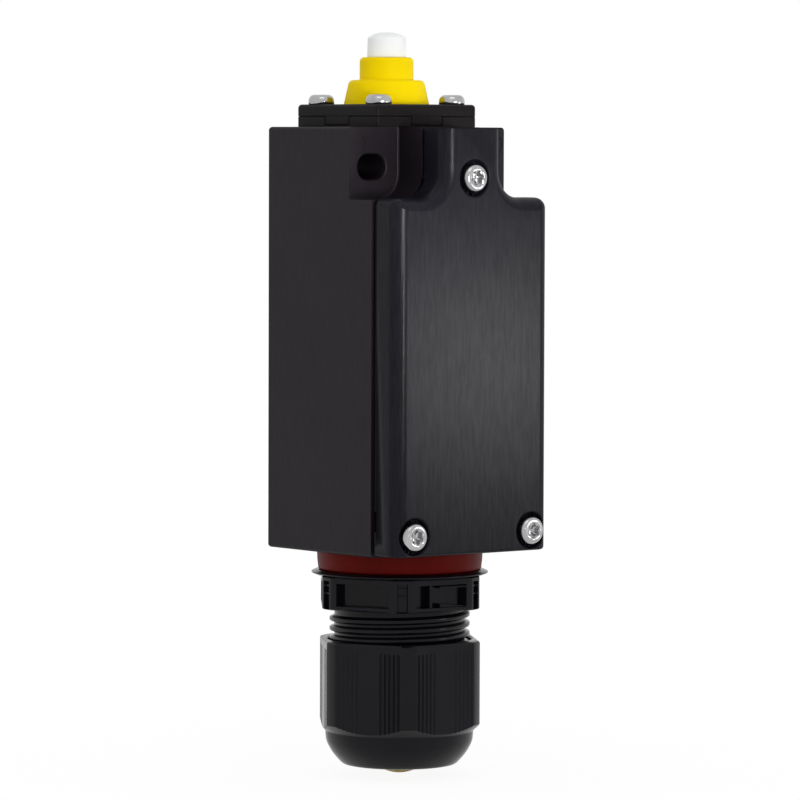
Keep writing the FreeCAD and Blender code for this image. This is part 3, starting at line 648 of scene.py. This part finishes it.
# Head screws. Four small domed machine screws through both layers of the head plate into
# the housing's roof. Plated steel, polished enough to mirror the collar beside them.
def driven_from_above(x, y, turn):
    """Places a screw's points on a head screw's axis, its socket turned by an angle in degrees."""
    c, s = math.cos(math.radians(turn)), math.sin(math.radians(turn))
    return lambda u, v, w: (x + c * u - s * v, y + s * u + c * v, plate_high.z + w)


head_screws = skinned("head_screw_set", *[
    pan_screw(driven_from_above(x, y, turn), head_radius=2.8, head_height=2.1, shank_radius=1.5,
              length=10.0, crown=1.5, socket=1.25, floor=0.9)
    for (x, y), turn in zip(head_screw_places, (5, 31, 22, 48))])
dressed(head_screws, zinc_steel, "root", "zinc_steel", "head_screws")


# Guide collar. A stepped bush turned from yellow acetal: a flange held under the cap, a
# cone that fills the plate's opening and a sleeve that guides the plunger.
yellow_plastic = plastic("yellow_plastic", (0.775, 0.570, 0.0003), (0.805, 0.610, 0.0006), 0.42,
                         grain=0.5, depth=0.004, streaks=0.1, specular=0.03)
surface = yellow_plastic.node_tree.nodes["Principled BSDF"]
surface.inputs["Subsurface Weight"].default_value = 0.08
surface.inputs["Subsurface Radius"].default_value = (0.002, 0.0014, 0.0002)
collar_low, collar_high = (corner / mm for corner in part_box("guide_collar"))
guide_bore = 4.28
wiper_seat = 5.75
bush_flange = 10.4
cone_foot_reach = 9.25
cone_head_reach = 8.05
sleeve_reach = 5.8
sleeve_foot = 18.6
guide_collar = turned("guide_collar_bush", [
    (guide_bore, collar_low.z + 1.6, 0), (wiper_seat, collar_low.z + 1.6, 0), (wiper_seat, collar_low.z, 0),
    (bush_flange, collar_low.z, 0.1), (bush_flange, collar_low.z + 1.2, 0.1),
    (cone_foot_reach, collar_low.z + 1.2, 0), (cone_foot_reach, plate_high.z - 0.1, 0.1),
    (cone_head_reach, sleeve_foot, 1.1), (sleeve_reach, sleeve_foot, 0.35),
    (sleeve_reach, collar_high.z, 0.9), (guide_bore, collar_high.z, 0.25)], y=plunger_y)
dressed(guide_collar, yellow_plastic, "root", "yellow_plastic", "guide_collar")


# Plunger. A turned white acetal rod with a rounded tip, worn smooth. A flange under the guide
# collar stops it, and its stem reaches down to the contact slider.
white_plastic = plastic("white_plastic", (0.79, 0.80, 0.80), (0.83, 0.84, 0.84), 0.40,
                        grain=0.5, depth=0.004, streaks=0.1, specular=0.2)
surface = white_plastic.node_tree.nodes["Principled BSDF"]
surface.inputs["Subsurface Weight"].default_value = 0.12
surface.inputs["Subsurface Radius"].default_value = (0.002, 0.002, 0.0018)
plunger_low, plunger_high = (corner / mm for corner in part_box("plunger"))
tip = plunger_high.z
stem_radius = 3.0
stop_radius = 6.3
rod_radius = 4.2
plunger = turned("plunger_rod", [
    (0, plunger_low.z, 0), (stem_radius, plunger_low.z, 0.3), (stem_radius, seam - 1.3, 0),
    (stop_radius, seam - 1.3, 0.15), (stop_radius, seam - 0.1, 0.15), (rod_radius, seam - 0.1, 0),
    (4.19, tip - 5.5, 0), (4.10, tip - 1.15, 0.55),
    (2.75, tip - 0.36, 3.0), (1.2, tip, 3.0), (0, tip, 0)], y=plunger_y)
dressed(plunger, white_plastic, "plunger", "white_plastic", "plunger")


# Gland seal. A dark red rubber ring between the housing's floor and the gland's flange.
# Squeezed between them, it flares a little towards the top.
red_rubber = plastic("red_rubber", (0.088, 0.0025, 0.0010), (0.124, 0.0038, 0.0017), 0.34,
                     grain=0.4, depth=0.010, streaks=0.2, specular=0.05)
seal_low, seal_high = (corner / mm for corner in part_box("gland_seal"))
seal_bore = 12.45
gland_seal = turned("gland_seal_ring", [
    (seal_bore, seal_low.z, 0), (17.55, seal_low.z, 0.5), (17.80, (seal_low.z + seal_high.z) / 2, 6.0),
    (17.90, seal_high.z, 0.3), (seal_bore, seal_high.z, 0)], y=gland_y)
dressed(gland_seal, red_rubber, "root", "red_rubber", "gland_seal")


# Gland body. One glossy black polyamide moulding: a thin flange, a six-sided collar with a
# sunk window in each side, and a coarse right-hand thread for the cap nut.
body_low, body_high = (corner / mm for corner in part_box("gland_body"))
flange_top = seal_low.z
flange_height = 1.2
flange_reach = 19.05
collar_height = 6.9
collar_head = flange_top - flange_height
collar_foot = collar_head - collar_height
thread_foot = body_low.z
root_radius = 14.1
crest_radius = 15.15
thread_pitch = 2.1
collar_flat = 16.85
collar_corner = 18.5
collar_turn = -6.5
collar_rounding = 30 - math.degrees(math.acos(collar_flat / collar_corner))
collar_bore = 14.3
core_radius = 14.35
spigot_radius = 12.4
cable_bore = 9.6
cage_bore = 12.25
cage_room = 12.1
gland_plastic = plastic("gland_plastic", (0.0030, 0.0030, 0.0048), (0.0048, 0.0048, 0.0072), 0.16,
                        grain=0.6, depth=0.004, streaks=0.15, waviness=0.6, specular=0.15, rim=0.35)


def crisp(shape, angle):
    """Shades every edge sharper than the angle as a hard one."""
    shape.data.set_sharp_from_angle(angle=math.radians(angle))
    return shape


def six_sided(flat, corner, turn, marks, corner_marks):
    """Columns of a rounded hexagon: (angle, radius, side, place across the side or None on a corner)."""
    rounding = 30 - math.degrees(math.acos(flat / corner))
    columns = []
    for index in range(6):
        middle = 60 * index + 30 + turn
        for mark in marks:
            angle = math.degrees(math.atan2(mark, flat))
            columns.append((middle + angle, math.hypot(flat, mark), index, mark))
        for mark in corner_marks:
            columns.append((middle + 30 + rounding * mark, corner, index, None))
    return columns


def ring_round(columns, height, radius_of):
    """One ring of points round the gland's axis, at one height or at a height for each column."""
    ring = []
    for column in columns:
        angle = math.radians(column[0])
        radius = radius_of(column)
        ring.append((radius * math.cos(angle), gland_y + radius * math.sin(angle),
                     height(column) if callable(height) else height))
    return ring


window_depth = 2.3
window_reach = 6.21
window_head = 1.2
window_foot = 5.95
rib_depth = 0.5
ledge_depth = 0.7
ledge_slope = 0.085
channel_depth = 1.1
bridge_depth = 0.45
flat_reach = collar_flat * math.tan(math.acos(collar_flat / collar_corner))
window_marks = [-flat_reach, -6.35, -6.2, -6.05, -2.85, -2.75, -2.15, -2.05, -0.05, 0.05, 2.0, 4.0,
                5.95, 6.05, 6.2, 6.35, flat_reach]
channel_marks = [-0.9, -0.62, -0.54, 0.0, 0.54, 0.62, 0.9]


def collar_depth(column, height):
    """How far the collar's side is sunk in a column at a height.

    Each side has a window, every other one with a rib and two ledges, and each corner a channel."""
    angle, _, index, mark = column
    from_head = collar_head - height
    if mark is None:
        share = (angle - 60 * index - 60 - collar_turn) / collar_rounding
        if abs(share) > 0.55 or from_head < 0.75:
            return 0.0
        return bridge_depth if 1.5 < from_head < 1.9 or 3.2 < from_head < 3.6 else channel_depth
    if abs(mark) > window_reach or from_head < window_head or from_head > window_foot:
        return 0.0
    ribbed = index % 2 == 0
    if ribbed and -2.8 < mark < -2.1:
        return rib_depth
    if ribbed and mark > 0 and (from_head > 5.2 or 1.5 < from_head < 1.9):
        return ledge_depth
    return window_depth


def ledge_place(column):
    """How far along the sloping ledge of a ribbed window a column lies."""
    index, mark = column[2:]
    return max(mark or 0, 0) if index % 2 == 0 else 0


collar_columns = six_sided(collar_flat, collar_corner, collar_turn, window_marks, channel_marks)
collar_rows = [0.0, 0.7, 0.8, 1.15, 1.25, 1.45, 1.55, 1.85, 1.95, 3.15, 3.25, 3.55, 3.65, 5.15, 5.25,
               5.9, 6.0, 6.65]
collar_rings = []
for drop in collar_rows:
    height = collar_head - drop
    slope = ledge_slope if 5.1 < drop < 5.3 else 0.0
    collar_rings.append(ring_round(collar_columns, lambda c: height - slope * ledge_place(c),
                                   lambda c: c[1] - collar_depth(c, height)))
collar_rings.append(ring_round(collar_columns, collar_foot, lambda c: c[1] - 0.25))


def thread_ridge(start, turns):
    """Rings along one helical ridge that grows out of the core and sinks back at its end."""
    rings = []
    turn_steps = 72
    fade_steps = 8
    steps = int(turns * turn_steps)
    for step in range(steps + 1):
        angle = math.radians(70 - step * 5)
        fade = min(1.0, step / fade_steps, (steps - step) / fade_steps)
        crest = root_radius + (crest_radius - root_radius) * fade
        middle = start - thread_pitch * step / turn_steps
        profile = [(root_radius - 0.4, -0.90), (root_radius, -0.84), (crest - 0.14, -0.44), (crest, -0.28),
                   (crest, 0.28), (crest - 0.14, 0.44), (root_radius, 0.84), (root_radius - 0.4, 0.90)]
        rings.append([(radius * math.cos(angle), gland_y + radius * math.sin(angle), middle + offset)
                      for radius, offset in profile])
    return rings


gland_core = turned("gland_core", [
    (cable_bore, body_high.z, 0.2), (cable_bore, thread_foot + cage_room, 0),
    (cage_bore, thread_foot + cage_room, 0), (cage_bore, thread_foot, 0.2),
    (root_radius, thread_foot, 0.3), (root_radius, collar_foot, 0.4), (core_radius, collar_foot + 0.3, 0),
    (core_radius, collar_head - 0.3, 0), (17.9, collar_head, 0.15), (flange_reach, flange_top - 0.72, 0.12),
    (flange_reach, flange_top - 0.48, 0.12), (17.9, flange_top, 0.1), (spigot_radius, flange_top, 0),
    (spigot_radius, body_high.z, 0.3)], y=gland_y, sides=160)
gland_collar = skinned("gland_collar", collar_rings)
worked(gland_collar, "DIFFERENCE", auger(0, gland_y, collar_bore, collar_foot - 2, collar_head + 2))
crisp(gland_collar, 28)
gland_thread = skinned("gland_thread", thread_ridge(collar_foot - 0.95, 5.3))
dressed(gland_core, gland_plastic, "root", "gland_plastic", "gland_body")
for part in (gland_collar, gland_thread):
    dressed(part, gland_plastic, "root", "gland_plastic")


# Cap nut. Moulded from the same glossy polyamide: six flats, each with two ribbed grips,
# a short cone under the flats and a domed end round the cable's opening.
nut_low, nut_high = (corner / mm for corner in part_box("gland_nut"))
nut_top = nut_high.z
nut_bottom = nut_low.z
nut_flat = 16.5
nut_corner = 18.2
nut_turn = -2.05
nut_rounding = 30 - math.degrees(math.acos(nut_flat / nut_corner))
nut_bore = 15.6
bore_height = 9.0
cone_head = nut_top - 18.1
cone_foot = cone_head - 1.8
cone_foot_radius = 16.0
groove_depth = 0.20
groove_head = 2.15
groove_run = 15.0
groove_places = [2.8, 3.85, 4.9, 5.95, 7.0]
nut_marks = [0.0, 1.2, 2.2]
for middle in groove_places:
    nut_marks += [middle - 0.25, middle - 0.07, middle + 0.07, middle + 0.25]
nut_marks.append(nut_flat * math.tan(math.acos(nut_flat / nut_corner)))
nut_marks = [-mark for mark in reversed(nut_marks[1:])] + nut_marks
nut_columns = six_sided(nut_flat, nut_corner, nut_turn, nut_marks,
                        [-0.95, -0.8, -0.5, 0.0, 0.5, 0.8, 0.95])


def grooved(column, share=1.0):
    """The nut's radius in a column, sunk where the column lies in a groove."""
    angle, radius, index, mark = column
    if mark is None:
        share_out = abs(angle - 60 * index - 60 - nut_turn) / nut_rounding
        return radius - 0.06 * share_out ** 4
    sunk = any(abs(abs(mark) - middle) < 0.2 for middle in groove_places)
    return radius - (groove_depth * share if sunk else 0.0)


def cone_height(column):
    """Where a column of the flats runs out on the cone."""
    drop = (nut_corner - grooved(column)) * (cone_head - cone_foot) / (nut_corner - cone_foot_radius)
    return cone_head - drop


nut_rings = [ring_round(nut_columns, nut_bottom + bore_height, lambda c: nut_bore),
             ring_round(nut_columns, nut_top - 0.3, lambda c: nut_bore),
             ring_round(nut_columns, nut_top, lambda c: nut_bore + 0.3)]
for drop, share, inset in ((0.0, 0, 0.7), (0.12, 0, 0.25), (0.45, 0, 0), (1.75, 0, 0), (1.9, 0.75, 0),
                           (groove_head, 1, 0)):
    nut_rings.append(ring_round(nut_columns, nut_top - drop, lambda c: grooved(c, share) - inset))
for share in (0.25, 0.5, 0.75):
    nut_rings.append(ring_round(nut_columns, nut_top - groove_head - groove_run * share, grooved))
for lift, inset in ((0.25, 0), (0.06, 0.02), (-0.03, 0.12)):
    nut_rings.append(ring_round(nut_columns, lambda c: cone_height(c) + lift, lambda c: grooved(c) - inset))
nut_rings.append(ring_round(nut_columns, cone_foot + 0.1,
                            lambda c: min(grooved(c) - 0.16, cone_foot_radius + 0.14)))
nut_rings.append(ring_round(nut_columns, cone_foot - 0.05, lambda c: cone_foot_radius))
for radius, drop in ((15.97, 0.9), (15.86, 1.9), (15.60, 2.75), (15.18, 3.6), (14.72, 4.4), (14.22, 5.1),
                     (13.65, 5.8), (13.10, 6.4), (12.62, 6.9)):
    nut_rings.append(ring_round(nut_columns, cone_foot - drop, lambda c: radius))
for radius, rise in ((12.2, 0.12), (11.7, 0.0), (10.2, 0.0), (9.5, 0.12), (9.25, 0.4), (9.25, bore_height)):
    nut_rings.append(ring_round(nut_columns, nut_bottom + rise, lambda c: radius))
gland_nut = crisp(skinned("gland_cap_nut", nut_rings, looped=True), 30)
dressed(gland_nut, gland_plastic, "gland_nut", "gland_plastic", "gland_nut")


# Dust plug. A soft pale yellow polyethylene cap that closes the gland until a cable goes in.
# Its shallow dome stands a little proud of the nut.
plug_plastic = plastic("plug_plastic", (0.80, 0.64, 0.06), (0.85, 0.69, 0.08), 0.4, grain=0.4, depth=0.008,
                       streaks=0.1)
plug_low, plug_high = (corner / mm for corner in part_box("dust_plug"))
dome_rise = 4.0
plug_radius = 8.0
plug_bore = 6.8
plug_floor = plug_low.z + 5.2
domed = [(0.8 * step, plug_low.z + dome_rise * (step / 10) ** 2, 0) for step in range(11)]
dust_plug = turned("dust_plug_cap", domed + [
    (plug_radius, plug_high.z, 0.2), (plug_bore, plug_high.z, 0.2), (plug_bore, plug_floor, 0.6),
    (0, plug_floor, 0)], y=gland_y, sides=96)
dressed(dust_plug, plug_plastic, "dust_plug", "plug_plastic", "dust_plug")


# Inner works. The contact block, its slider, strips, clamps and screws are plain small parts
# whose CAD shapes stay. Each gets the finish of what it is made from.
brass = metal("brass", (0.62, 0.46, 0.20), (0.72, 0.55, 0.27), 0.26, lines=0.10, depth=0.004)
spring_steel = metal("spring_steel", (0.42, 0.42, 0.44), (0.52, 0.52, 0.54), 0.30, lines=0.06, depth=0.003)
silver = metal("silver", (0.80, 0.79, 0.76), (0.88, 0.87, 0.84), 0.18, lines=0.10, depth=0.002)
block_plastic = plastic("block_plastic", (0.075, 0.075, 0.080), (0.095, 0.095, 0.100), 0.48,
                        grain=0.25, depth=0.012)
inner_finishes = {
    block_plastic: ["contact_block"],
    white_plastic: ["contact_slider"],
    brass: ["cover_inserts", "nc_bridge", "no_bridge", "nc_contacts", "no_contacts"],
    silver: ["nc_bridge_tips", "no_bridge_tips", "fixed_tips"],
    zinc_steel: ["block_screws", "terminal_clamps", "terminal_screws"],
    spring_steel: ["nc_spring"],
    gland_plastic: ["pressure_ring"],
}
for finish, names in inner_finishes.items():
    for name in names:
        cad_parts[name].data.materials.clear()
        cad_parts[name].data.materials.append(finish)


# Springs and the gland's grip. The coil springs, the clamping cage and the rubber sleeve are
# copied from their CAD nodes, each into a piece with its own mesh.
def yielding(name, label, finish, body, slot):
    """A copy of a CAD node, with its own mesh, that takes the node's place."""
    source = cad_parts[name]
    piece = bpy.data.objects.new(label, source.data.copy())
    bpy.context.scene.collection.objects.link(piece)
    dressed(piece, finish, body, slot, name)
    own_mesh(piece)


yielding("return_spring", "return_coil", spring_steel, "root", "spring_steel")
yielding("slider_spring", "slider_coil", spring_steel, "root", "spring_steel")
yielding("no_spring", "no_contact_coil", spring_steel, "plunger", "spring_steel")
yielding("clamping_cage", "clamping_fingers", gland_plastic, "root", "gland_plastic")
yielding("sealing_insert", "sealing_sleeve", black_rubber, "root", "black_rubber")


# Studio. A pale floor just under the part, a white surround, and soft lamps: two small ones in
# front draw the line on the cover's edge and the sheen on its face, a wide one lights the top.
def white_for(tree, ray):
    """A value of one for camera, glossy and transmission rays, and zero for the rest."""
    first = node(tree, "Math", operation="MAXIMUM")
    both = node(tree, "Math", operation="MAXIMUM")
    tree.links.new(ray.outputs["Is Camera Ray"], first.inputs[0])
    tree.links.new(ray.outputs["Is Glossy Ray"], first.inputs[1])
    tree.links.new(first.outputs[0], both.inputs[0])
    tree.links.new(ray.outputs["Is Transmission Ray"], both.inputs[1])
    return both


floor_gap = 0.0005
floor_height = cad_box[0][2] - floor_gap
floor_reach = 6
floor_corners = [(-floor_reach, -floor_reach, floor_height), (floor_reach, -floor_reach, floor_height),
                 (floor_reach, floor_reach, floor_height), (-floor_reach, floor_reach, floor_height)]
floor_mesh = bpy.data.meshes.new("studio_floor")
floor_mesh.from_pydata(floor_corners, [], [(0, 1, 2, 3)])
floor = bpy.data.objects.new("studio_floor", floor_mesh)
bpy.context.scene.collection.objects.link(floor)
pale = bpy.data.materials.new("studio_floor")
pale.use_nodes = True
tree = pale.node_tree
matt = tree.nodes["Principled BSDF"]
matt.inputs["Base Color"].default_value = (0.9, 0.9, 0.9, 1)
matt.inputs["Roughness"].default_value = 0.9
matt.inputs["Specular IOR Level"].default_value = 0.1
glow = node(tree, "Emission", Color=(1, 1, 1, 1), Strength=1.02)
spot = node(tree, "TexCoord")
away = node(tree, "VectorMath", operation="LENGTH")
tree.links.new(spot.outputs["Object"], away.inputs[0])
whiter = node(tree, "MapRange")
whiter.inputs["From Min"].default_value = 0.16
whiter.inputs["From Max"].default_value = 0.55
whiter.inputs["To Min"].default_value = 0.90
tree.links.new(away.outputs["Value"], whiter.inputs["Value"])
seen = white_for(tree, node(tree, "LightPath"))
share = node(tree, "Math", operation="MULTIPLY")
tree.links.new(seen.outputs[0], share.inputs[0])
tree.links.new(whiter.outputs[0], share.inputs[1])
mixed = node(tree, "MixShader")
tree.links.new(share.outputs[0], mixed.inputs["Fac"])
tree.links.new(matt.outputs["BSDF"], mixed.inputs[1])
tree.links.new(glow.outputs["Emission"], mixed.inputs[2])
tree.links.new(mixed.outputs["Shader"], tree.nodes["Material Output"].inputs["Surface"])
floor_mesh.materials.append(pale)

world = bpy.data.worlds.new("studio")
bpy.context.scene.world = world
world.use_nodes = True
tree = world.node_tree
surround = tree.nodes["Background"]
seen = white_for(tree, node(tree, "LightPath"))
level = node(tree, "MapRange")
level.inputs["To Min"].default_value = 0.84
level.inputs["To Max"].default_value = 1.0
tree.links.new(seen.outputs[0], level.inputs["Value"])
surround.inputs["Color"].default_value = (1, 1, 1, 1)
tree.links.new(level.outputs[0], surround.inputs["Strength"])


def softbox(name, place_from, aim, width, height, watts, spread=180):
    """A rectangular studio lamp, whose grid may narrow its beam to a spread in degrees."""
    lamp = bpy.data.lights.new(name, "AREA")
    lamp.shape = "RECTANGLE"
    lamp.size = width
    lamp.size_y = height
    lamp.energy = watts
    lamp.spread = math.radians(spread)
    holder = bpy.data.objects.new(name, lamp)
    holder.location = place_from
    holder.rotation_euler = (Vector(aim) - Vector(place_from)).to_track_quat("-Z", "Y").to_euler()
    bpy.context.scene.collection.objects.link(holder)


softbox("edge_lamp", place_from=(-0.040, -0.2925, -0.023), aim=(-0.0195, -0.0435, -0.012),
        width=0.07, height=0.05, watts=0.014, spread=24)
softbox("face_lamp", place_from=(0.134, -0.205, -0.051), aim=(0.01, -0.045, -0.037),
        width=0.05, height=0.045, watts=0.0068, spread=44)
softbox("top_lamp", place_from=(-0.3, -0.5, 0.9), aim=(0, -0.02, -0.05), width=0.6, height=0.6, watts=1.2)

# Camera. Solved from the photograph's edges: 38 degrees round to the left and three up,
# through a long lens about a metre away.
camera_turn = math.radians(38.4526)
camera_tilt = math.radians(3.0051)
camera_roll = math.radians(0.1797)
camera_distance = 1067.203
aim_right = 12.0704
aim_below_top = 59.4586
focal_pixels = 4885.43
photo_width = 800
sensor_width = 36
level_right = Vector((math.cos(camera_turn), -math.sin(camera_turn), 0))
level_back = Vector((-math.sin(camera_turn), -math.cos(camera_turn), 0))
straight_up = Vector((0, 0, 1))
back = level_back * math.cos(camera_tilt) + straight_up * math.sin(camera_tilt)
up = straight_up * math.cos(camera_tilt) - level_back * math.sin(camera_tilt)
target = (level_right * aim_right + straight_up * (top - aim_below_top)) * mm
tilted_right = level_right * math.cos(camera_roll) + up * math.sin(camera_roll)
tilted_up = up * math.cos(camera_roll) - level_right * math.sin(camera_roll)
optics = bpy.data.cameras.new("camera")
optics.sensor_width = sensor_width
optics.lens = focal_pixels * sensor_width / photo_width
optics.clip_start = 0.05
optics.clip_end = 50
camera = bpy.data.objects.new("camera", optics)
camera.matrix_world = Matrix.Translation(target + back * camera_distance * mm) @ Matrix(
    (tilted_right, tilted_up, back)).transposed().to_4x4()
bpy.context.scene.collection.objects.link(camera)
bpy.context.scene.camera = camera
bpy.context.scene.view_settings.view_transform = "Standard"
